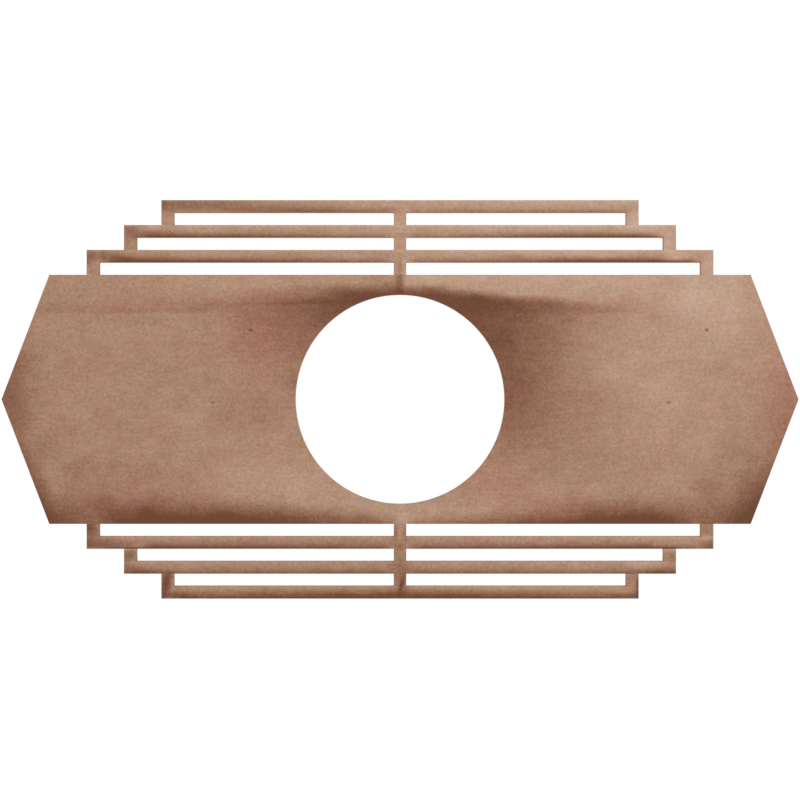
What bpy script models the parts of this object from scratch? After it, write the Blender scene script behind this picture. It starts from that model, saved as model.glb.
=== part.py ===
"""Stepped fretwork ceiling medallion, cut in one piece from a flat board.

The medallion hangs face down. Its back lies against the ceiling at z = 0 and
its face looks down at z = -THICKNESS. The long side runs along X, and the
origin is the centre of the lamp hole, level with the ceiling.
"""

import math

import bpy

INCH = 0.0254

# The whole board
WIDTH = 20.0 * INCH
HEIGHT = 10.0 * INCH
THICKNESS = 0.25 * INCH
ARRIS = 0.0005

# The plain middle panel, an elongated hexagon with a point at each end
PANEL_HEIGHT = 6.25 * INCH
PANEL_TOP_LENGTH = 17.6 * INCH

# The stepped bars above and below the panel, each a little shorter than the last
BARS_A_SIDE = 3
BAR_PITCH = (HEIGHT - PANEL_HEIGHT) / 2 / BARS_A_SIDE
BAR_WIDTH = BAR_PITCH / 2
BAR_STEP = 0.9375 * INCH
POST_WIDTH = BAR_WIDTH

# The lamp hole
HOLE_DIAMETER = 5.25 * INCH
HOLE_SIDES = 128

BOARD_COLOUR = (0.386, 0.223, 0.156, 1.0)
BOARD_ROUGHNESS = 0.8


def clear_scene():
    """Removes whatever the scene starts with."""
    for thing in list(bpy.data.objects):
        bpy.data.objects.remove(thing, do_unlink=True)


def new_collection(name):
    """Makes a collection for the medallion's objects."""
    collection = bpy.data.collections.new(name)
    bpy.context.scene.collection.children.link(collection)
    return collection


def board_material():
    """Plain brown fibreboard, matt and not metallic."""
    material = bpy.data.materials.new("brown_fibreboard")
    material.use_nodes = True
    shader = material.node_tree.nodes["Principled BSDF"]
    shader.inputs["Base Color"].default_value = BOARD_COLOUR
    shader.inputs["Roughness"].default_value = BOARD_ROUGHNESS
    shader.inputs["Metallic"].default_value = 0.0
    return material


def bar_half_length(step):
    """Half the length of a bar, counted outwards from the panel."""
    return PANEL_TOP_LENGTH / 2 - (step + 1) * BAR_STEP


def bar_foot(step):
    """How far from the middle line the stretch with this bar and its slot begins."""
    return PANEL_HEIGHT / 2 + step * BAR_PITCH


def quarter_outline():
    """The outline from the right-hand point round to the outermost bar's corner."""
    points = [(WIDTH / 2, 0.0), (PANEL_TOP_LENGTH / 2, PANEL_HEIGHT / 2)]
    for step in range(BARS_A_SIDE):
        points.append((bar_half_length(step), bar_foot(step)))
        points.append((bar_half_length(step), bar_foot(step + 1)))
    return points


def outline():
    """The closed outline, one quarter mirrored to the other three."""
    right_upper = quarter_outline()
    left_upper = [(-x, y) for x, y in reversed(right_upper)]
    upper = right_upper + left_upper
    lower = [(x, -y) for x, y in reversed(upper) if y > 0.0]
    return upper + lower


def slot(step, side_x, side_y):
    """One slot between two bars: side_x and side_y are 1 or -1, and pick the quarter."""
    inner_x = side_x * POST_WIDTH / 2
    outer_x = side_x * (bar_half_length(step) - POST_WIDTH)
    near_y = side_y * bar_foot(step)
    far_y = side_y * (bar_foot(step + 1) - BAR_WIDTH)
    return [(inner_x, near_y), (outer_x, near_y), (outer_x, far_y), (inner_x, far_y)]


def lamp_hole():
    """The round hole for the lamp's ceiling box and canopy."""
    turns = [2 * math.pi * n / HOLE_SIDES for n in range(HOLE_SIDES)]
    radius = HOLE_DIAMETER / 2
    return [(radius * math.cos(turn), radius * math.sin(turn)) for turn in turns]


def add_loop(curve, points):
    """Adds one closed, straight-sided loop to a flat curve."""
    spline = curve.splines.new("POLY")
    spline.points.add(len(points) - 1)
    for corner, (x, y) in zip(spline.points, points):
        corner.co = (x, y, 0.0, 1.0)
    spline.use_cyclic_u = True


def make_medallion(collection):
    """The board: a filled outline less its slots and hole, with eased edges."""
    curve = bpy.data.curves.new("medallion", "CURVE")
    curve.dimensions = "2D"
    curve.fill_mode = "BOTH"
    add_loop(curve, outline())
    add_loop(curve, lamp_hole())
    for step in range(BARS_A_SIDE):
        for side_x in (1, -1):
            for side_y in (1, -1):
                add_loop(curve, slot(step, side_x, side_y))
    curve.bevel_depth = ARRIS
    curve.bevel_resolution = 0
    curve.offset = -ARRIS
    curve.extrude = THICKNESS / 2 - ARRIS
    board = bpy.data.objects.new("medallion", curve)
    board.location.z = -THICKNESS / 2
    curve.materials.append(board_material())
    collection.objects.link(board)
    return board


def main():
    clear_scene()
    make_medallion(new_collection("ceiling_medallion"))


main()
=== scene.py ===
# %% [markdown]
# # A stepped ceiling medallion
#
# The real thing is one flat sheet of brown fibreboard that is glued to a ceiling behind
# a hanging lamp. A long panel with a point at each end has a round hole for the lamp,
# and three thin bars step in above it and three below. Nothing on it stands proud, so
# its looks come from two things: a crisp cut outline, and soft painted shade and painted
# light in the brown face's colour, darker and paler clouds of tone.
#
# The lesson first loads the imported board, which fixes every size and place. It then
# models a finer board over it, mixes the three finishes that a cut board shows (face,
# cut edge and bare back), and sets up the light and the camera.

# %% Load the imported board
import math

import bmesh
import bpy
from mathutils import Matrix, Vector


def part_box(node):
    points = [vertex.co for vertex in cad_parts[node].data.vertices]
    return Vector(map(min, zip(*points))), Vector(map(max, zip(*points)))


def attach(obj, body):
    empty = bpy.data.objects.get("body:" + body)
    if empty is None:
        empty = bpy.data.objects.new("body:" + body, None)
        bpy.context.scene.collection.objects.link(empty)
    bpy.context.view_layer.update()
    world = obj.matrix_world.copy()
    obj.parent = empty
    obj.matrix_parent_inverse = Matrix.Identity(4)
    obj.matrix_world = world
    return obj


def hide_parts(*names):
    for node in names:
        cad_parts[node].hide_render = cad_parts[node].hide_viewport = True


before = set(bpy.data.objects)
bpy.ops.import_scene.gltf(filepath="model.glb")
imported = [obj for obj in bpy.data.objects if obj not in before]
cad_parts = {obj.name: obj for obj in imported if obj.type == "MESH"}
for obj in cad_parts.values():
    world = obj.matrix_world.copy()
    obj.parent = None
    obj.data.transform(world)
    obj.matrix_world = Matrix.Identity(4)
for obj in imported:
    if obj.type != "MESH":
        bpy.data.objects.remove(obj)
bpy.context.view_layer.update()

# %% [markdown]
# ## Sizes
#
# The board is laid out in inches, as cut fretwork is: 20 in long, with bars 5/16 in wide
# on a 5/8 in pitch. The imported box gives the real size, so one inch is read from it and
# every other size follows. The board hangs face down: its back is the top of the box,
# and its face is the bottom.

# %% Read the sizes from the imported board
low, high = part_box("medallion")
WIDTH, HEIGHT, THICKNESS = high - low
BACK_Z = high.z
FACE_Z = low.z
WIDTH_IN_INCHES = 20
INCH = WIDTH / WIDTH_IN_INCHES

PANEL_HALF = 3.125 * INCH
PANEL_TOP_HALF = 8.8 * INCH
HOLE_RADIUS = 2.625 * INCH
BARS_A_SIDE = 3
BAR_PITCH = (HEIGHT / 2 - PANEL_HALF) / BARS_A_SIDE
BAR_WIDTH = BAR_PITCH / 2
BAR_STEP = 0.9375 * INCH
POST_WIDTH = BAR_WIDTH
print("one inch on the board is", round(1000 * INCH, 3), "mm")
print("a bar is", round(1000 * BAR_WIDTH, 3), "mm wide")

# %% [markdown]
# ## One quarter of the sheet
#
# The board is the same in all four quarters, so one quarter is modelled and mirrored
# twice. It starts as a single corner on the rim of the lamp hole. Spin sweeps that
# corner through a quarter turn, which gives a truly round rim, and an extrude pushed out
# to a square gives the part of the panel around the hole. A boolean cut would also make
# the hole, but this way the faces run evenly round it and the rim bevels cleanly.

# %% Sweep the rim and push it out to a square
NEAR = 1e-5
RIM_STEPS = 48


def new_corners(made):
    """The corners that an operator has just made."""
    return [part for part in made["geom"] if isinstance(part, bmesh.types.BMVert)]


def sweep_round_panel(sheet):
    """The quarter of the panel around the lamp hole, from its round rim to a square."""
    corner = sheet.verts.new((HOLE_RADIUS, 0, BACK_Z))
    bmesh.ops.spin(
        sheet, geom=[corner], cent=(0, 0, 0), axis=(0, 0, 1), angle=math.pi / 2, steps=RIM_STEPS
    )
    pushed = new_corners(bmesh.ops.extrude_edge_only(sheet, edges=sheet.edges[:]))
    for corner in pushed:
        grow = PANEL_HALF / max(corner.co.x, corner.co.y)
        corner.co.x *= grow
        corner.co.y *= grow


sheet = bmesh.new()
sweep_round_panel(sheet)
print("around the hole:", len(sheet.faces), "faces")

# %% [markdown]
# ## The pointed end
#
# The side of that square is extruded again, and its new corners slide out to the slanted
# end of the panel. The slant is a straight line from the point, on the middle line, to
# the end of the panel's long edge.

# %% Slide the end out to its slant


def slant_x(y):
    """How far out the panel's end lies at a height above the middle line."""
    return WIDTH / 2 - (WIDTH / 2 - PANEL_TOP_HALF) * y / PANEL_HALF


def slide_out_end(sheet):
    """Extends the panel from the square to its slanted end."""
    side = [edge for edge in sheet.edges if all(PANEL_HALF - v.co.x < NEAR for v in edge.verts)]
    for corner in new_corners(bmesh.ops.extrude_edge_only(sheet, edges=side)):
        corner.co.x = slant_x(corner.co.y)


slide_out_end(sheet)
print("with the end:", len(sheet.faces), "faces")

# %% [markdown]
# ## The bars, row by row
#
# Each bar is shorter than the last and stands on posts, which leave long slots between.
# Straight cuts across the sheet first put corners where posts and bars will end. Then
# the panel's long edge is extruded in rows, first the height of a slot and then the
# width of a bar, and only the stretch under the next bar grows on. The slots are opened
# last by deleting the faces between the posts.

# %% Grow the rows and open the slots


def bar_half(step):
    """Half the length of a bar, counted outwards from the panel."""
    return PANEL_TOP_HALF - (step + 1) * BAR_STEP


def cut_across(sheet):
    """Puts corners in the sheet where each post and each bar ends."""
    places = [POST_WIDTH / 2]
    for step in range(BARS_A_SIDE):
        places += [bar_half(step) - POST_WIDTH, bar_half(step)]
    for x in places:
        everything = sheet.verts[:] + sheet.edges[:] + sheet.faces[:]
        bmesh.ops.bisect_plane(
            sheet, geom=everything, dist=NEAR, plane_co=(x, 0, 0), plane_no=(1, 0, 0)
        )


def long_edge(sheet, height, reach):
    """The edges along the sheet's far side, out to where the next bar ends."""
    return [
        edge
        for edge in sheet.edges
        if all(abs(v.co.y - height) < NEAR and v.co.x < reach + NEAR for v in edge.verts)
    ]


def grow_rows(sheet):
    """Adds a row of slots and a bar, three times over."""
    for step in range(BARS_A_SIDE):
        height = PANEL_HALF + step * BAR_PITCH
        for rise in (BAR_PITCH - BAR_WIDTH, BAR_WIDTH):
            row = long_edge(sheet, height, bar_half(step))
            risen = new_corners(bmesh.ops.extrude_edge_only(sheet, edges=row))
            bmesh.ops.translate(sheet, verts=risen, vec=(0, rise, 0))
            height += rise


def in_slot(middle):
    """Whether a face with this middle lies in a slot."""
    step, into_row = divmod(middle.y - PANEL_HALF, BAR_PITCH)
    if step < 0 or into_row > BAR_PITCH - BAR_WIDTH:
        return False
    return POST_WIDTH / 2 < middle.x < bar_half(step) - POST_WIDTH


cut_across(sheet)
grow_rows(sheet)
slots = [face for face in sheet.faces if in_slot(face.calc_center_median())]
bmesh.ops.delete(sheet, geom=slots, context="FACES")
print("one quarter:", len(sheet.faces), "faces, after opening", len(slots), "slot faces")

# %% [markdown]
# ## From a quarter sheet to a board
#
# Two mirrors make the whole sheet, and the seams are merged. The sheet is still as thin
# as paper, so it is extruded down by the thickness of the board. The normals are
# recalculated once the shell is closed, because mirroring turns faces over.
#
# A cut edge is never quite sharp: sanding leaves a small round, the arris. A narrow
# bevel in three segments gives it, and catches the light along every edge.

# %% Mirror, thicken and ease the edges
ARRIS = 0.0005
ARRIS_SEGMENTS = 3
FLAT_FROM = 0.5


def mirror_sheet(sheet):
    """The whole sheet from one quarter."""
    for axis in ("X", "Y"):
        quarter = sheet.verts[:] + sheet.edges[:] + sheet.faces[:]
        bmesh.ops.mirror(sheet, geom=quarter, axis=axis, merge_dist=NEAR)
    bmesh.ops.remove_doubles(sheet, verts=sheet.verts[:], dist=NEAR)


def thicken(sheet):
    """Gives the flat sheet the board's thickness, downwards from its back."""
    lowered = new_corners(bmesh.ops.extrude_face_region(sheet, geom=sheet.faces[:]))
    bmesh.ops.translate(sheet, verts=lowered, vec=(0, 0, -THICKNESS))
    bmesh.ops.recalc_face_normals(sheet, faces=sheet.faces[:])


def is_arris(edge):
    """Whether an edge joins a flat face of the board to a cut wall."""
    lies_flat = [abs(face.normal.z) > FLAT_FROM for face in edge.link_faces]
    return len(lies_flat) == 2 and lies_flat[0] != lies_flat[1]


def ease_edges(sheet):
    """Rounds every edge between a face and a wall by the width of the arris."""
    bmesh.ops.bevel(
        sheet,
        geom=[edge for edge in sheet.edges if is_arris(edge)],
        offset=ARRIS,
        offset_type="OFFSET",
        affect="EDGES",
        segments=ARRIS_SEGMENTS,
        profile=0.5,
        material=-1,
    )


mirror_sheet(sheet)
thicken(sheet)
ease_edges(sheet)
open_edges = [edge for edge in sheet.edges if len(edge.link_faces) != 2]
print("board:", len(sheet.faces), "faces,", len(open_edges), "open edges")
print("volume:", round(1e6 * sheet.calc_volume(), 1), "cm3")

# %% [markdown]
# ## The piece
#
# The board becomes one mesh object at the origin, with its place in its mesh. It stands
# for the imported node, so that one is hidden, and it rides on the only body, the root.
# Each face remembers which finish it takes: the face with its painted shade, the cut
# edge or the bare back. The face's finish, painted shade included, runs over the arris on
# its side. Only the fine steps round the lamp hole are shaded smooth.

# %% Make the board's object
FACE_FINISH, EDGE_FINISH, BACK_FINISH = range(3)
TURNS_TO_WALL = 0.2
SHARP_FROM = math.radians(10)


def sort_finishes(sheet):
    """Marks each face with the finish it takes, by the way it points."""
    for face in sheet.faces:
        if face.normal.z < -TURNS_TO_WALL:
            face.material_index = FACE_FINISH
        elif face.normal.z > TURNS_TO_WALL:
            face.material_index = BACK_FINISH
        else:
            face.material_index = EDGE_FINISH


sort_finishes(sheet)
board_mesh = bpy.data.meshes.new("medallion_board")
sheet.to_mesh(board_mesh)
sheet.free()
board_mesh.shade_smooth()
board_mesh.set_sharp_from_angle(angle=SHARP_FROM)
board = bpy.data.objects.new("medallion_board", board_mesh)
bpy.context.scene.collection.objects.link(board)
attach(board, "root")
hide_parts("medallion")
print("piece:", board.name, len(board_mesh.polygons), "faces")

# %% [markdown]
# ## Helpers for mixing a finish
#
# A finish is a tree of nodes that ends in one shader. A few small helpers keep the
# recipes short: one adds a node and links what it is given, two do a sum on numbers or
# on places and colours, one eases smoothly from one value to another, and one fills a
# colour ramp. Every pattern reads Object coordinates, so it stays fixed in the board when
# the camera moves.

# %% Node helpers
MATT_SPECULAR = 0.25


def add_node(tree, kind, inputs, **settings):
    """Adds a node. Each input takes a plain value, or a link from another node's socket."""
    node = tree.nodes.new(kind)
    for name, setting in settings.items():
        setattr(node, name, setting)
    for name, value in inputs.items():
        if isinstance(value, bpy.types.NodeSocket):
            tree.links.new(value, node.inputs[name])
        else:
            node.inputs[name].default_value = value
    return node


def maths(tree, operation, *values):
    """The result of one sum."""
    return add_node(tree, "ShaderNodeMath", dict(enumerate(values)), operation=operation).outputs[0]


def vectors(tree, operation, *values):
    """The result of one sum on places or colours."""
    inputs = dict(enumerate(values))
    return add_node(tree, "ShaderNodeVectorMath", inputs, operation=operation).outputs[0]


def ease(tree, value, start, stop, low=0.0, high=1.0):
    """Goes smoothly from low to high while the value goes from start to stop."""
    limits = {"Value": value, "From Min": start, "From Max": stop, "To Min": low, "To Max": high}
    eased = add_node(tree, "ShaderNodeMapRange", limits, interpolation_type="SMOOTHSTEP")
    return eased.outputs["Result"]


def colour_ramp(tree, value, stops, interpolation="LINEAR"):
    """The colour that a value looks up in a row of stops, each a position and a colour."""
    steps = add_node(tree, "ShaderNodeValToRGB", {"Fac": value})
    ramp = steps.color_ramp
    ramp.interpolation = interpolation
    while len(ramp.elements) < len(stops):
        ramp.elements.new(0.5)
    for element, (position, colour) in zip(ramp.elements, stops):
        element.position = position
        element.color = (*colour, 1)
    return steps.outputs["Color"]


def new_finish(name):
    """An empty matt finish: its tree, its shader and the place that patterns are read from."""
    material = bpy.data.materials.new(name)
    material.use_nodes = True
    tree = material.node_tree
    shader = tree.nodes["Principled BSDF"]
    shader.inputs["Specular IOR Level"].default_value = MATT_SPECULAR
    place = tree.nodes.new("ShaderNodeTexCoord").outputs["Object"]
    board_mesh.materials.append(material)
    return tree, shader, place


print("helpers ready")

# %% [markdown]
# ## The fibres
#
# Fibreboard is made of ground wood, pressed flat. From a step away it shows as a fine
# speckle about a millimetre across, over softer blotches the size of a fingertip, with
# a few faint drag marks along the board from sanding. Each is a noise of its own scale,
# and all three finishes share this recipe, in different strengths.
#
# The glazed face also has pits, where a clump of fibre tore out and the glaze gathered.
# Cells of a Voronoi pattern scatter them: each cell has a random value, and the cells
# whose value is low get a small dark dot at their middle.

# %% A recipe for pressed fibres
SPECKLE_SIZE = 0.0014
BLOTCH_SIZE = 0.016
DRAG_LENGTH = 0.014
DRAG_WIDTH = 0.002
PIT_SPACING = 0.008
PIT_RADIUS = 0.0008
PIT_DEPTH = 0.045
PITTED_SHARE = 0.45
NOISE_ROUGHNESS = 0.55


def noise(tree, place, size, detail=3.0):
    """A soft random pattern with this size of grain, from 0 to 1 and about 0.5 on the whole."""
    inputs = {"Vector": place, "Scale": 1 / size, "Detail": detail, "Roughness": NOISE_ROUGHNESS}
    return add_node(tree, "ShaderNodeTexNoise", inputs).outputs["Fac"]


def stretched_noise(tree, place, length, width, height):
    """A noise with grains of these three sizes: it reads a place counted in grains."""
    scale = (1 / length, 1 / width, 1 / height)
    counted = add_node(tree, "ShaderNodeMapping", {"Vector": place, "Scale": scale}).outputs[0]
    return noise(tree, counted, 1.0)


def drag_marks(tree, place):
    """Faint streaks along the board."""
    return stretched_noise(tree, place, DRAG_LENGTH, DRAG_WIDTH, DRAG_WIDTH)


def pits(tree, place):
    """Tiny dark pits here and there: how much each takes off the tone."""
    cells = add_node(tree, "ShaderNodeTexVoronoi", {"Vector": place, "Scale": 1 / PIT_SPACING})
    chance = add_node(tree, "ShaderNodeSeparateColor", {"Color": cells.outputs["Color"]}).outputs["Red"]
    pitted = maths(tree, "LESS_THAN", chance, PITTED_SHARE)
    hollow = ease(tree, cells.outputs["Distance"], 0, PIT_RADIUS / PIT_SPACING, PIT_DEPTH, 0)
    return maths(tree, "MULTIPLY", pitted, hollow)


def fibres(tree, place, speckle, blotch, drag):
    """The three patterns added up, each swinging to either side of nothing by its own strength."""
    total = 0.0
    for pattern, strength in (
        (noise(tree, place, SPECKLE_SIZE, detail=2.0), speckle),
        (noise(tree, place, BLOTCH_SIZE, detail=4.0), blotch),
        (drag_marks(tree, place), drag),
    ):
        swing = maths(tree, "SUBTRACT", pattern, 0.5)
        total = maths(tree, "MULTIPLY_ADD", swing, 2 * strength, total)
    return total


print("fibres ready")

# %% [markdown]
# ## The painted shade
#
# The photo shows the face darker and redder in soft-edged areas: over and beside the
# lamp hole, along the lower edge and at the lower corners. These are painted shade and
# painted light, put into the face's colour. Each area is a cloud: an ellipse that fades
# out smoothly. A cloud holds back a share of the light, so clouds that overlap multiply.
# A cloud with a share below nought is painted light, a spot painted lighter.
#
# Each cloud is given in inches from the middle of the hole: its place to the right and
# down as one looks up at the face, its half length and half width, its turn in degrees,
# and the share of the light that it holds back at its middle. They stand in groups, each
# named for the part of the board it clouds. Flecks are small dark drops of glaze, all of
# one size, so they need only a place and a share.
#
# A plain ellipse would look drawn. So the place is first pushed to and fro by a soft
# noise, a few millimetres at most, and the clouds of the panel are read at that place.
# Their edges then wander, so the painted shade has uneven edges.

# %% Where the shade and light are painted
# Painted shade over and beside the lamp hole, one list for each half
SIDE_PAINTED_SHADE = {
    "left": [
        (-0.9, -2.5, 4.8, 3.0, 0, 0.33),
        (-0.9, -2.65, 2.6, 0.7, 0, 0.24),
    ],
    "right": [
        (1.7, -1.7, 4.3, 3.9, 0, 0.42),
        (0.6, -2.6, 2.4, 1.1, 0, 0.10),
        (3.0, -2.45, 3.2, 0.6, 0, 0.16),
        (2.9, -0.1, 1.9, 1.8, 0, 0.10),
        (3.9, 0.9, 3.2, 2.2, 0, 0.10),
    ],
}
# Painted light: strips painted paler above the roof lines
SIDE_PAINTED_LIGHT = {
    "left": [(-3.2, -3.0, 5.5, 0.8, 0, -0.07)],
    "right": [
        (3.2, -3.1, 9.0, 1.0, 0, -0.15),
        (1.0, -3.05, 1.6, 0.35, 0, -0.08),
        (5.6, -2.95, 0.9, 0.3, 0, -0.04),
    ],
}
# Painted shade over the panel, and painted light where a share is below nought
PANEL_PAINTED_SHADE_AND_LIGHT = {
    "paler right end": [
        (5.6, -0.6, 6.0, 4.2, 0, -0.11),
        (8.2, -2.3, 2.6, 1.7, 25, -0.10),
        (7.4, -2.4, 1.4, 0.6, 0, -0.07),
        (8.4, -2.3, 0.6, 1.3, 0, -0.04),
    ],
    "over the lamp hole": [
        (0.3, -2.6, 1.1, 0.28, 0, 0.15),
        (0.0, -3.0, 0.18, 0.9, 0, 0.28),
    ],
    "paler under the lamp hole": [
        (-2.7, 2.1, 2.8, 1.1, 0, -0.11),
        (0.0, 2.75, 3.6, 0.8, 0, -0.10),
    ],
    "left of the lamp hole": [
        (-1.75, -2.1, 0.5, 0.3, 0, 0.10),
        (-2.7, -0.4, 0.7, 0.5, 0, 0.08),
        (-3.6, 0.3, 1.4, 0.7, 0, 0.08),
        (-6.5, 1.0, 0.7, 0.4, 0, 0.05),
        (-8.2, 0.8, 1.0, 0.6, 0, 0.05),
        (-6.0, 1.9, 1.2, 0.6, 0, 0.06),
        (-7.9, 1.6, 1.4, 0.5, 0, 0.07),
        (-6.0, -1.9, 0.35, 0.25, 0, 0.07),
    ],
    "right of the lamp hole": [
        (4.9, 0.1, 1.3, 1.0, 0, 0.07),
        (7.95, -0.75, 0.7, 0.4, 0, 0.06),
        (3.7, 2.2, 0.9, 0.5, 0, -0.07),
        (4.9, 2.4, 0.8, 0.4, 0, -0.05),
        (7.5, 2.2, 0.6, 0.35, 0, 0.06),
        (8.5, 1.9, 0.4, 0.3, 0, 0.07),
        (1.05, 2.55, 0.35, 0.25, 0, 0.08),
        (6.3, -0.7, 0.45, 0.4, 0, 0.05),
    ],
    "lower edge": [
        (-6.0, 3.3, 5.6, 1.1, 0, 0.57),
        (-2.6, 3.3, 4.6, 0.75, 0, 0.41),
        (3.0, 3.3, 5.0, 0.52, 0, 0.38),
        (5.8, 3.3, 4.4, 1.04, 0, 0.57),
        (6.1, 2.95, 0.9, 0.35, 0, 0.13),
        (-0.45, 3.2, 0.35, 0.3, 0, 0.12),
        (-0.8, 3.05, 0.6, 0.18, 0, 0.07),
        (-6.3, 2.95, 0.9, 0.3, 0, 0.06),
        (-2.5, 3.0, 0.5, 0.25, 0, -0.06),
        (4.0, 3.05, 0.4, 0.2, 0, 0.06),
    ],
    "breaks in it over the posts": [
        (-7.7, 3.3, 0.7, 0.7, 0, -0.38),
        (0.1, 3.3, 0.36, 0.7, 0, -0.30),
        (7.7, 3.3, 1.0, 0.8, 0, -0.32),
    ],
    "lower right corner": [
        (9.2, 2.85, 2.1, 1.35, -69, 0.46),
        (8.8, 3.3, 1.6, 0.9, 0, 0.26),
        (7.9, 2.6, 0.8, 1.5, 0, 0.10),
        (8.6, 1.3, 0.9, 1.0, 0, 0.08),
    ],
    "lower left corner": [
        (-9.2, 2.75, 2.8, 0.7, 69, 0.52),
        (-7.6, 2.4, 2.6, 1.1, 0, 0.09),
        (-8.8, 2.9, 0.7, 0.6, 0, 0.10),
    ],
    "points of both ends": [
        (-10.0, -0.2, 1.3, 3.0, 0, 0.28),
        (-9.0, 1.3, 0.8, 0.7, 0, 0.10),
        (10.2, 0.6, 1.8, 2.6, 0, 0.14),
    ],
}
# Painted shade and painted light on the bars and posts
BAR_PAINTED_SHADE_AND_LIGHT = {
    "paler upper bars": [
        (0.0, -4.6, 16.0, 1.9, 0, -0.12),
        (4.6, -4.3, 6.0, 2.0, 0, -0.10),
        (7.8, -3.35, 0.7, 0.5, 0, -0.10),
        (7.0, -3.52, 0.6, 0.28, 0, -0.24),
        (6.2, -4.15, 0.8, 0.4, 0, -0.12),
        (6.75, -3.9, 0.35, 0.35, 0, -0.10),
        (5.95, -4.5, 0.28, 0.28, 0, -0.08),
        (-3.8, -4.70, 1.4, 0.09, 0, -0.14),
        (0.8, -4.70, 0.7, 0.09, 0, -0.12),
        (-5.0, -4.17, 0.9, 0.2, 0, -0.08),
        (-1.6, -4.12, 1.1, 0.2, 0, -0.08),
        (1.0, -4.1, 0.7, 0.12, 0, -0.12),
        (-4.7, -3.58, 1.4, 0.2, 0, -0.08),
        (-1.2, -3.54, 1.1, 0.2, 0, -0.09),
        (-2.9, -3.50, 0.8, 0.15, 0, -0.06),
        (5.1, -3.57, 0.5, 0.13, 0, -0.10),
        (6.9, -3.5, 0.6, 0.13, 0, -0.11),
    ],
    "darker by the upper posts": [
        (-5.95, -4.85, 0.18, 0.3, 0, 0.11),
        (-5.7, -4.7, 0.25, 0.14, 0, 0.12),
        (5.68, -4.76, 0.25, 0.16, 0, 0.13),
        (5.9, -4.1, 0.3, 0.13, 0, 0.10),
        (-7.47, -3.6, 0.16, 0.2, 0, 0.14),
        (2.95, -3.57, 0.6, 0.15, 0, 0.11),
        (0.0, -4.12, 0.3, 0.13, 0, 0.09),
    ],
    "upper left ends": [
        (-5.2, -4.92, 4.0, 0.32, 0, 0.21),
        (-5.0, -4.7, 1.2, 0.12, 0, -0.22),
        (-2.6, -4.74, 2.6, 0.2, 0, 0.15),
        (-6.75, -4.2, 2.5, 0.65, -35, 0.12),
        (-6.75, -4.2, 0.4, 0.22, 35, 0.16),
        (-6.25, -4.3, 0.4, 0.16, 0, -0.16),
        (-7.0, -3.54, 0.7, 0.12, 4, 0.20),
        (-7.8, -3.6, 0.3, 0.3, 0, 0.20),
        (-7.25, -3.45, 0.6, 0.12, 0, -0.30),
    ],
    "upper right, under the bars": [
        (4.7, -3.48, 1.8, 0.18, 0, 0.13),
        (4.2, -4.12, 1.8, 0.16, 0, 0.11),
    ],
    "middle post, above": [
        (0.0, -3.3, 0.12, 0.5, 0, 0.14),
        (-0.2, -4.75, 0.4, 0.15, 0, 0.14),
    ],
    "lower bars": [
        (3.5, 4.4, 5.0, 2.0, 0, -0.05),
        (0.0, 4.93, 8.0, 0.23, 0, 0.28),
        (-6.75, 4.2, 2.5, 0.65, 35, 0.12),
        (-7.4, 3.62, 0.6, 0.2, 0, 0.12),
        (-7.0, 3.72, 0.7, 0.12, 0, -0.38),
        (-6.5, 3.69, 0.35, 0.13, 0, -0.30),
        (-6.4, 4.1, 0.6, 0.22, 0, -0.12),
        (6.95, 3.7, 0.8, 0.2, 0, -0.26),
        (6.8, 3.46, 1.3, 0.2, 0, -0.11),
        (6.42, 3.67, 0.25, 0.12, 0, -0.15),
        (7.15, 3.73, 0.3, 0.08, 0, -0.20),
        (5.95, 4.15, 0.5, 0.2, 0, -0.14),
        (6.4, 4.12, 0.45, 0.14, 0, -0.09),
    ],
    "dark lower corners": [
        (-7.85, 3.65, 0.45, 0.3, 0, 0.24),
        (-6.85, 4.38, 0.75, 0.25, 0, 0.22),
        (-6.5, 4.38, 0.6, 0.13, 0, 0.18),
        (-5.7, 4.92, 0.9, 0.16, 0, 0.23),
        (6.85, 4.38, 0.9, 0.25, 0, 0.42),
        (6.5, 4.38, 0.5, 0.13, 0, 0.20),
        (5.65, 4.95, 0.6, 0.14, 0, 0.20),
    ],
    "lower left posts": [
        (-7.8, 3.2, 0.35, 0.45, 0, 0.34),
        (-6.8, 3.88, 0.28, 0.25, 0, 0.18),
        (-5.88, 4.66, 0.2, 0.47, 15, 0.42),
        (-5.84, 4.45, 0.2, 0.13, 0, 0.20),
    ],
    "lower right posts": [
        (7.72, 3.25, 0.3, 0.25, 0, 0.07),
        (7.72, 3.5, 0.2, 0.2, 0, -0.10),
        (7.8, 3.7, 0.4, 0.26, 0, 0.30),
        (6.85, 3.95, 0.3, 0.3, 0, 0.16),
        (6.0, 4.6, 0.6, 0.7, 0, 0.10),
        (6.0, 4.75, 0.14, 0.5, 0, 0.42),
        (6.0, 5.0, 0.5, 0.25, 0, 0.22),
    ],
    "middle post, below": [
        (0.0, 3.3, 0.08, 0.4, 0, -0.10),
        (-0.12, 3.4, 0.1, 0.4, 0, 0.14),
        (0.14, 3.4, 0.08, 0.4, 0, 0.10),
        (0.0, 3.7, 0.2, 0.15, 0, 0.16),
        (0.0, 4.35, 0.5, 0.8, 0, 0.21),
        (0.12, 4.6, 0.2, 0.5, 0, 0.12),
        (0.03, 4.68, 0.09, 0.36, 14, 0.42),
        (0.0, 4.94, 0.65, 0.17, 0, 0.25),
    ],
}
FLECKS = [
    (-4.70, 0.075, 0.25),
    (-3.745, -1.735, 0.45),
    (-3.55, 1.15, 0.16),
    (6.73, 0.075, 0.33),
    (7.69, -1.74, 0.42),
]
FLECK_HALF_LENGTH = 0.08
FLECK_HALF_WIDTH = 0.055
WANDER = 0.004
WANDER_SIZE = 0.02


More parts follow.
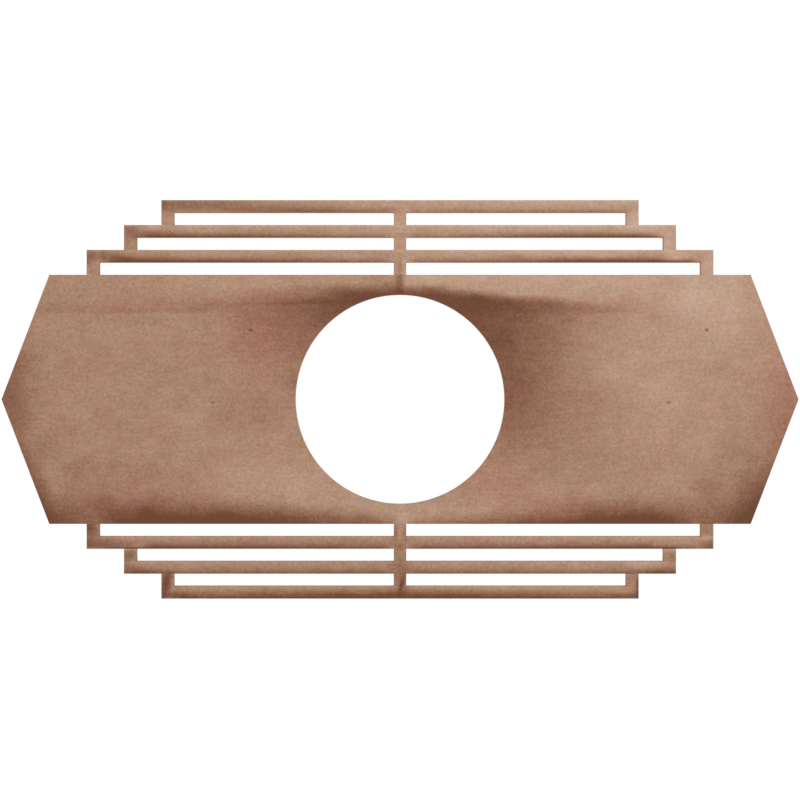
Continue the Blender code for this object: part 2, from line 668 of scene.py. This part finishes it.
def wandering(tree, place):
    """The place pushed to and fro by a soft noise, to give uneven edges to what is read there."""
    inputs = {"Vector": place, "Scale": 1 / WANDER_SIZE, "Detail": 3.0}
    swirl = add_node(tree, "ShaderNodeTexNoise", inputs)
    push = vectors(tree, "SUBTRACT", swirl.outputs["Color"], (0.5, 0.5, 0.5))
    return vectors(tree, "MULTIPLY_ADD", push, (2 * WANDER, 2 * WANDER, 0), place)


def cloud(tree, place, x, y, half_length, half_width, turn, share):
    """The light that one cloud lets through: all of it outside, and less towards its middle."""
    centred = {
        "Vector": place,
        "Location": (x * INCH, y * INCH, FACE_Z),
        "Rotation": (0, 0, math.radians(turn)),
        "Scale": (half_length * INCH, half_width * INCH, 1),
    }
    local = add_node(tree, "ShaderNodeMapping", centred, vector_type="TEXTURE").outputs[0]
    fade = add_node(tree, "ShaderNodeTexGradient", {"Vector": local}, gradient_type="SPHERICAL")
    return ease(tree, fade.outputs["Fac"], 0, 1, 1, 1 - share)


def overlap(tree, coats):
    """What gets through several coats, one over the other."""
    through = 1.0
    for coat in coats:
        through = maths(tree, "MULTIPLY", through, coat)
    return through


def clouds(tree, place, patches):
    """What gets through a list of clouds."""
    return overlap(tree, [cloud(tree, place, *patch) for patch in patches])


def every(groups):
    """All the clouds of some named groups, as one list."""
    return [patch for group in groups.values() for patch in group]


def only_where(tree, mask, coat):
    """The coat where the mask is 1, and clear where it is 0."""
    mixed = add_node(tree, "ShaderNodeMix", {"Factor": mask, "A": 1.0, "B": coat}, data_type="FLOAT")
    return mixed.outputs["Result"]


for groups in (SIDE_PAINTED_SHADE, SIDE_PAINTED_LIGHT, PANEL_PAINTED_SHADE_AND_LIGHT, BAR_PAINTED_SHADE_AND_LIGHT):
    print("clouds of glaze:", len(every(groups)), "in", list(groups))

# %% [markdown]
# ## The roof line
#
# Over the lamp hole the painted shade stops at a crisp line, shaped like a low roof that
# falls away to both sides, with a strip of painted light above it. The two halves meet on
# the middle line and differ a little. So each half has its own clouds of painted shade,
# kept below its roof, and a strip painted lighter kept above it.

# %% Two halves under a roof
# The top of each half in inches, its fall to the side, and its softness in inches
ROOFS = {"left": (-3.06, 0.05, 0.48), "right": (-2.96, 0.085, 0.30)}
MEETING_WIDTH = 0.22 * INCH


def half_of_painted_shade(tree, place, side):
    """The painted shade and painted light of one half of the panel, below and above its roof line."""
    top, fall, softness = ROOFS[side]
    split = add_node(tree, "ShaderNodeSeparateXYZ", {"Vector": place})
    across, down = split.outputs["X"], split.outputs["Y"]
    outwards = maths(tree, "ABSOLUTE", across)
    line = maths(tree, "MULTIPLY_ADD", outwards, fall, top * INCH)
    below = ease(tree, maths(tree, "SUBTRACT", down, line), 0, softness * INCH)
    above = maths(tree, "SUBTRACT", 1.0, below)
    # Painted shade below the roof line, painted light above it
    painted_shading = only_where(tree, below, clouds(tree, place, SIDE_PAINTED_SHADE[side]))
    painted_light = only_where(tree, above, clouds(tree, place, SIDE_PAINTED_LIGHT[side]))
    towards = across if side == "right" else maths(tree, "MULTIPLY", across, -1.0)
    on_side = ease(tree, towards, -MEETING_WIDTH / 2, MEETING_WIDTH / 2)
    return only_where(tree, on_side, overlap(tree, [painted_shading, painted_light]))


print("roof lines:", ROOFS)

# %% [markdown]
# ## The level line
#
# On both sides of the hole a reddish band of painted shade fades out upwards and ends at a
# crisp level line below. Its clouds straddle that line, and only what lies above it is
# kept. They are read at the true place and not at the pushed one, because this line is
# straight. A thin dark streak of painted shade runs on from the left band to the hole.

# %% Bands above a level line
LEVEL_Y = -2.165 * INCH
LEVEL_SOFTNESS = 0.06 * INCH
# Painted shade in bands above the level line, with one spot painted lighter
LEVEL_PAINTED_SHADE_AND_LIGHT = {
    "left band": [
        (-8.1, -2.165, 2.1, 0.40, 0, 0.085),
        (-5.7, -2.165, 2.2, 0.50, 0, 0.09),
        (-4.7, -2.36, 1.0, 0.27, 0, 0.06),
    ],
    "streak to the hole": [
        (-2.75, -2.42, 2.0, 0.075, -1.3, 0.11),
        (-2.08, -2.59, 1.1, 0.16, 0, -0.14),
        (-2.2, -2.8, 0.9, 0.14, 0, 0.07),
    ],
    "right band": [
        (5.3, -2.2, 1.4, 0.45, 0, 0.085),
        (3.4, -2.2, 1.2, 0.35, 0, 0.03),
    ],
}
# Painted reddish light along the same bands
LEVEL_PAINTED_RED_LIGHT = [
    (-6.6, -2.25, 3.6, 0.5, 0, 0.42),
    (5.0, -2.25, 2.4, 0.5, 0, 0.50),
]


def above_level(tree, place):
    """1 above the level line and 0 below it."""
    down = add_node(tree, "ShaderNodeSeparateXYZ", {"Vector": place}).outputs["Y"]
    return ease(tree, down, LEVEL_Y - LEVEL_SOFTNESS / 2, LEVEL_Y + LEVEL_SOFTNESS / 2, 1, 0)


print("level bands:", list(LEVEL_PAINTED_SHADE_AND_LIGHT))

# %% [markdown]
# ## Painted shade on the bars
#
# Each bar is painted pale along its upper edge and dark along its lower one: a painted
# highlight and painted shade, as on a bar lit from above its upper edge. Since bars and
# slots are equally wide, the place across a bar is what is left after whole bar widths
# are taken off, and the row it is in follows from the distance beyond the panel. Raising
# the place to a power keeps the painted shade faint except near the lower edge.
#
# The painted shade isn't equally strong all over. Each of the six bars has two strengths
# of its own, one near its ends and one at its middle, which a colour ramp with hard steps
# looks up in its red and green. The posts themselves stay clear. The free corners of the
# lower bars get painted shade from clouds instead.

# %% Painted shade across the bars
# Strength of the painted shade at the ends and at the middle, from the top bar to the bottom one
BAR_PAINTED_SHADE = [
    (0.32, 0.28),
    (0.62, 0.28),
    (0.64, 0.28),
    (0.64, 0.40),
    (0.32, 0.38),
    (0.42, 0.46),
]
# A painted highlight along each bar's upper edge
PAINTED_HIGHLIGHT_GAIN = 0.07
HIGHLIGHT_SHARE = 0.3
SHADE_POWER = 2.8
FULL_SHADE_AT = 5.5 * INCH
MIDDLE_CLEAR = 0.3 * POST_WIDTH, 1.5 * POST_WIDTH
END_CLEAR = 0.4 * POST_WIDTH, 2.4 * POST_WIDTH


def bar_strength(tree, outwards, down):
    """How strong the painted shade is on each of the six bars, going from its middle to its ends."""
    share_down = maths(tree, "MULTIPLY_ADD", down, 1 / HEIGHT, 0.5)
    pitch = BAR_PITCH / HEIGHT
    starts = [0, pitch, 2 * pitch, 0.5, 1 - 2 * pitch, 1 - pitch]
    stops = [(start, (*strengths, 0)) for start, strengths in zip(starts, BAR_PAINTED_SHADE)]
    found = colour_ramp(tree, share_down, stops, interpolation="CONSTANT")
    split = add_node(tree, "ShaderNodeSeparateColor", {"Color": found}).outputs
    limits = {"Value": outwards, "From Min": 0.0, "From Max": FULL_SHADE_AT}
    limits |= {"To Min": split["Green"], "To Max": split["Red"]}
    return add_node(tree, "ShaderNodeMapRange", limits).outputs["Result"]


def bar_painted_shade(tree, across, down):
    """The light that the painted shade lets through: all of it on the panel and on the posts."""
    outwards = maths(tree, "ABSOLUTE", across)
    beyond = maths(tree, "SUBTRACT", maths(tree, "ABSOLUTE", down), PANEL_HALF)
    row = maths(tree, "DIVIDE", beyond, BAR_PITCH)
    on_bar = maths(
        tree,
        "MULTIPLY",
        maths(tree, "GREATER_THAN", beyond, 0.0),
        maths(tree, "GREATER_THAN", maths(tree, "FRACT", row), 1 - BAR_WIDTH / BAR_PITCH),
    )
    widths_down = maths(tree, "MULTIPLY_ADD", down, 1 / BAR_WIDTH, HEIGHT / 2 / BAR_WIDTH)
    place_down = maths(tree, "FRACT", widths_down)
    toward_lower_edge = maths(tree, "POWER", place_down, SHADE_POWER)
    end = maths(tree, "MULTIPLY_ADD", maths(tree, "FLOOR", row), -BAR_STEP, PANEL_TOP_HALF - BAR_STEP)
    off_end_post = ease(tree, maths(tree, "SUBTRACT", end, outwards), *END_CLEAR)
    off_middle_post = ease(tree, outwards, *MIDDLE_CLEAR)
    bar_shade = bar_strength(tree, outwards, down)
    for share in (toward_lower_edge, off_end_post, off_middle_post):
        bar_shade = maths(tree, "MULTIPLY", bar_shade, share)
    # Painted highlight on the upper edge, less the painted shade towards the lower edge
    highlight_edge = ease(tree, place_down, 0, HIGHLIGHT_SHARE, PAINTED_HIGHLIGHT_GAIN, 0)
    gained = maths(tree, "MULTIPLY", on_bar, maths(tree, "SUBTRACT", highlight_edge, bar_shade))
    return maths(tree, "ADD", 1.0, gained)


print("bars stained by", BAR_PAINTED_SHADE)

# %% [markdown]
# ## The face of the board
#
# All of that gives one number, the tone. It starts at the board's middle tone, is
# dimmed by the painted shade of the clouds and the bars, and swings a little with the
# fibres. A colour ramp then turns tone into colour, so that where shade is painted the
# colour is not only darker but redder.
#
# Some areas lean to red and others to tan at the same tone. So the colour is multiplied
# by a tint that swings to either side of white, by a list of reddish patches of painted
# reddish light and a soft noise of clots in the pigment. A second noise adds a trace of
# yellow in other places.
#
# The fibres also drive the roughness and a very small bump, so the face keeps its matt,
# slightly felted look when light rakes across it.

# %% Mix the face
MIDDLE_TONE = 0.535
# The darker stops give the colour of the painted shade
TONE_COLOURS = [
    (0.29, (109, 68, 48)),
    (0.35, (125, 82, 62)),
    (0.45, (149, 108, 86)),
    (0.54, (171, 133, 110)),
    (0.60, (185, 148, 126)),
    (0.70, (204, 172, 152)),
]
# Painted reddish light in patches over the face
PAINTED_RED_LIGHT = [
    (-3.3, -1.6, 2.0, 2.4, 0, 0.65),
    (-5.5, -2.35, 4.0, 0.6, 0, 0.15),
    (5.0, -2.3, 3.2, 0.6, 0, 0.12),
    (9.9, 0.4, 1.4, 4.0, 0, 0.85),
    (-6.5, 2.4, 3.5, 0.9, 0, 0.45),
    (2.4, 2.0, 1.4, 1.2, 0, 0.70),
    (4.5, 2.8, 3.5, 0.8, 0, 0.40),
]
RED_LEVEL = 0.85
RED_PULL = (0.06, -0.08, -0.05)
CLOT_SIZE = 0.012
CLOT_SWING = 1.5
YELLOW_SIZE = 0.009
YELLOW_PULL = (0.0, 0.0, -0.3)
FACE_FIBRES = 0.103, 0.050, 0.034
FACE_ROUGHNESS = 0.74, 0.88
FELT_HEIGHT = 0.00012
FELT_STRENGTH = 0.6
NOISE_SPREAD = 0.3, 0.7


def screen_to_light(value):
    """A colour value as screens show it, 0 to 255, turned into an amount of light from 0 to 1."""
    share = value / 255
    return share / 12.92 if share < 0.04045 else ((share + 0.055) / 1.055) ** 2.4


def redden(tree, place, painted_red_coats, colour):
    """Swings a colour a little between tan and red, and much less towards yellow."""
    clots = maths(tree, "SUBTRACT", noise(tree, place, CLOT_SIZE), 0.5)
    # Painted reddish light, from the red coats
    painted_shading = maths(tree, "SUBTRACT", RED_LEVEL, overlap(tree, painted_red_coats))
    redness = maths(tree, "MULTIPLY_ADD", clots, CLOT_SWING, painted_shading)
    yellowness = maths(tree, "SUBTRACT", noise(tree, place, YELLOW_SIZE, detail=4.0), 0.5)
    tint = vectors(tree, "MULTIPLY_ADD", redness, RED_PULL, (1, 1, 1))
    tint = vectors(tree, "MULTIPLY_ADD", yellowness, YELLOW_PULL, tint)
    return vectors(tree, "MULTIPLY", colour, tint)


def tone_to_colour(tree, tone):
    """The colour of the glazed board at each tone."""
    stops = [(position, tuple(map(screen_to_light, colour))) for position, colour in TONE_COLOURS]
    return colour_ramp(tree, tone, stops)


def felt(tree, shader, pattern, roughness, height):
    """Lets a pattern drive the roughness, between two values, and a small bump."""
    limits = {"Value": pattern, "From Min": NOISE_SPREAD[0], "From Max": NOISE_SPREAD[1]}
    limits |= {"To Min": roughness[0], "To Max": roughness[1]}
    rough = add_node(tree, "ShaderNodeMapRange", limits).outputs["Result"]
    tree.links.new(rough, shader.inputs["Roughness"])
    relief = {"Height": pattern, "Distance": height, "Strength": FELT_STRENGTH}
    bump = add_node(tree, "ShaderNodeBump", relief)
    tree.links.new(bump.outputs["Normal"], shader.inputs["Normal"])


def mix_face():
    """The face that looks down into the room, with its painted shade and painted light."""
    tree, shader, place = new_finish("face_with_painted_shade")
    split = add_node(tree, "ShaderNodeSeparateXYZ", {"Vector": place})
    across, down = split.outputs["X"], split.outputs["Y"]
    on_panel = maths(tree, "LESS_THAN", maths(tree, "ABSOLUTE", down), PANEL_HALF)
    off_panel = maths(tree, "SUBTRACT", 1.0, on_panel)
    flecks = [(x, y, FLECK_HALF_LENGTH, FLECK_HALF_WIDTH, 0, share) for x, y, share in FLECKS]
    uneven = wandering(tree, place)
    above = above_level(tree, place)
    # Painted shade and painted light, with the real flecks among them
    painted_shade_light_and_flecks = overlap(
        tree,
        [
            half_of_painted_shade(tree, uneven, "left"),
            half_of_painted_shade(tree, uneven, "right"),
            only_where(tree, on_panel, clouds(tree, uneven, every(PANEL_PAINTED_SHADE_AND_LIGHT))),
            only_where(tree, above, clouds(tree, place, every(LEVEL_PAINTED_SHADE_AND_LIGHT))),
            clouds(tree, place, flecks),
            only_where(tree, off_panel, clouds(tree, place, every(BAR_PAINTED_SHADE_AND_LIGHT))),
            bar_painted_shade(tree, across, down),
        ],
    )
    dimmed = maths(tree, "MULTIPLY", painted_shade_light_and_flecks, MIDDLE_TONE)
    tone = maths(tree, "ADD", dimmed, fibres(tree, place, *FACE_FIBRES))
    tone = maths(tree, "SUBTRACT", tone, pits(tree, place))
    painted_red_coats = [
        clouds(tree, uneven, PAINTED_RED_LIGHT),
        only_where(tree, above, clouds(tree, place, LEVEL_PAINTED_RED_LIGHT)),
    ]
    colour = redden(tree, uneven, painted_red_coats, tone_to_colour(tree, tone))
    tree.links.new(colour, shader.inputs["Base Color"])
    felt(tree, shader, noise(tree, place, SPECKLE_SIZE), FACE_ROUGHNESS, FELT_HEIGHT)


mix_face()
print("face mixed from", len(bpy.data.materials["face_with_painted_shade"].node_tree.nodes), "nodes")

# %% [markdown]
# ## The cut edge and the bare back
#
# The cutter leaves the walls bare and slightly furry. Pressed board is densest near its
# two faces, so the walls are darkest there and paler in the core, with fine layers
# running round. The back has none of the face's painted shade: it is plain sanded board,
# paler and more even, so its sanding marks show more. Neither has the painted reddish
# light, so both are tinted a little towards tan.

# %% Mix the edge and the back
LAYER_WIDTH = 0.0005
LAYER_LENGTH = 0.009
LAYER_SWING = 0.16
LAYER_HEIGHT = 0.0002
EDGE_TONE = 0.54
CORE_HALF = 0.15 * THICKNESS
CORE_GAIN = 0.05
EDGE_FIBRES = 0.05, 0.02, 0.0
BACK_TONE = 0.56
BACK_FIBRES = 0.04, 0.04, 0.035
BARE_ROUGHNESS = 0.80, 0.92
BARE_TINT = (0.98, 1.03, 1.0)


def bare_colour(tree, tone):
    """The colour of board without glaze at each tone."""
    return vectors(tree, "MULTIPLY", tone_to_colour(tree, tone), BARE_TINT)


def mix_edge():
    """The cut walls, layered like pressed board."""
    tree, shader, place = new_finish("cut_edge")
    height = add_node(tree, "ShaderNodeSeparateXYZ", {"Vector": place}).outputs["Z"]
    middle = (BACK_Z + FACE_Z) / 2
    off_middle = maths(tree, "ABSOLUTE", maths(tree, "SUBTRACT", height, middle))
    core = ease(tree, off_middle, CORE_HALF, THICKNESS / 2, CORE_GAIN, -CORE_GAIN)
    layers = stretched_noise(tree, place, LAYER_LENGTH, LAYER_LENGTH, LAYER_WIDTH)
    layered = maths(tree, "MULTIPLY_ADD", maths(tree, "SUBTRACT", layers, 0.5), LAYER_SWING, EDGE_TONE)
    tone = maths(tree, "ADD", layered, core)
    tone = maths(tree, "ADD", tone, fibres(tree, place, *EDGE_FIBRES))
    tree.links.new(bare_colour(tree, tone), shader.inputs["Base Color"])
    felt(tree, shader, layers, BARE_ROUGHNESS, LAYER_HEIGHT)


def mix_back():
    """The bare sanded back."""
    tree, shader, place = new_finish("bare_back")
    tone = maths(tree, "ADD", BACK_TONE, fibres(tree, place, *BACK_FIBRES))
    tree.links.new(bare_colour(tree, tone), shader.inputs["Base Color"])
    felt(tree, shader, drag_marks(tree, place), BARE_ROUGHNESS, FELT_HEIGHT)


mix_edge()
mix_back()
print("finishes:", [material.name for material in board_mesh.materials])

# %% [markdown]
# ## Floor and light
#
# The board hangs three metres over a plain pale floor, high enough that the lamps below it
# leave no bright patch on the floor. The photo's light is soft and even, a little
# stronger from the upper right, so a large soft lamp stands on that side below the board
# and a weaker one opposite. A third lights the back for views from above. The sky behind
# the board is plain white to the camera, and dimmer as a source of light.

# %% Floor, lamps and sky
FLOOR_Z = -3.0
FLOOR_SIZE = 60.0
FLOOR_COLOUR = (0.82, 0.81, 0.79, 1)
FLOOR_ROUGHNESS = 0.9
# Each lamp's place, the length of its side in metres and its watts
LAMPS = {
    "key_lamp": ((1.0, -1.2, -1.4), 1.4, 9),
    "fill_lamp": ((-1.2, 0.9, -1.4), 1.4, 7),
    "back_lamp": ((0.8, 1.0, 1.4), 1.2, 14),
}


def make_floor():
    """A plain pale floor far below the board."""
    floor = bmesh.new()
    bmesh.ops.create_grid(floor, x_segments=1, y_segments=1, size=FLOOR_SIZE)
    bmesh.ops.translate(floor, verts=floor.verts[:], vec=(0, 0, FLOOR_Z))
    mesh = bpy.data.meshes.new("floor")
    floor.to_mesh(mesh)
    floor.free()
    paint = bpy.data.materials.new("pale_floor")
    paint.use_nodes = True
    shader = paint.node_tree.nodes["Principled BSDF"]
    shader.inputs["Base Color"].default_value = FLOOR_COLOUR
    shader.inputs["Roughness"].default_value = FLOOR_ROUGHNESS
    mesh.materials.append(paint)
    shown = bpy.data.objects.new("floor", mesh)
    bpy.context.scene.collection.objects.link(shown)


def make_lamp(name, place, size, watts):
    """A square soft lamp that faces the board."""
    lamp = bpy.data.lights.new(name, "AREA")
    lamp.size = size
    lamp.energy = watts
    holder = bpy.data.objects.new(name, lamp)
    holder.location = place
    holder.rotation_mode = "QUATERNION"
    holder.rotation_quaternion = holder.location.to_track_quat("Z", "Y")
    holder.visible_camera = False
    bpy.context.scene.collection.objects.link(holder)


def make_sky(shown, given):
    """A white sky: one strength as the camera sees it, another as it lights the board."""
    world = bpy.data.worlds.new("studio")
    world.use_nodes = True
    tree = world.node_tree
    ray = tree.nodes.new("ShaderNodeLightPath").outputs["Is Camera Ray"]
    limits = {"Value": ray, "To Min": given, "To Max": shown}
    strength = add_node(tree, "ShaderNodeMapRange", limits).outputs["Result"]
    sky = tree.nodes["Background"]
    sky.inputs["Color"].default_value = (1, 1, 1, 1)
    tree.links.new(strength, sky.inputs["Strength"])
    bpy.context.scene.world = world


make_floor()
for name, (place, size, watts) in LAMPS.items():
    make_lamp(name, place, size, watts)
make_sky(shown=1.0, given=0.895)
bpy.context.scene.view_settings.view_transform = "Standard"
print("lamps:", list(LAMPS))

# %% [markdown]
# ## The camera
#
# The photo looks straight at the face, from directly below the hung board, with the
# picture's top towards -Y. The inner wall of the hole only just shows, which puts the
# camera about 1.3 m away with a long lens, and the frame is a shade wider than the
# board. A half turn about X points the camera up and keeps the board's right side on the
# right.

# %% Place the camera
CAMERA_DISTANCE = 1.296
SEEN_WIDTH = 20.065 * INCH
AIM_Y = 0.016 * INCH
SENSOR_WIDTH = 36
camera_data = bpy.data.cameras.new("camera")
camera_data.sensor_width = SENSOR_WIDTH
camera_data.lens = camera_data.sensor_width * CAMERA_DISTANCE / SEEN_WIDTH
camera = bpy.data.objects.new("camera", camera_data)
camera.location = (0, AIM_Y, FACE_Z - CAMERA_DISTANCE)
camera.rotation_euler = (math.pi, 0, 0)
bpy.context.scene.collection.objects.link(camera)
bpy.context.scene.camera = camera
print("lens:", round(camera_data.lens, 1), "mm")
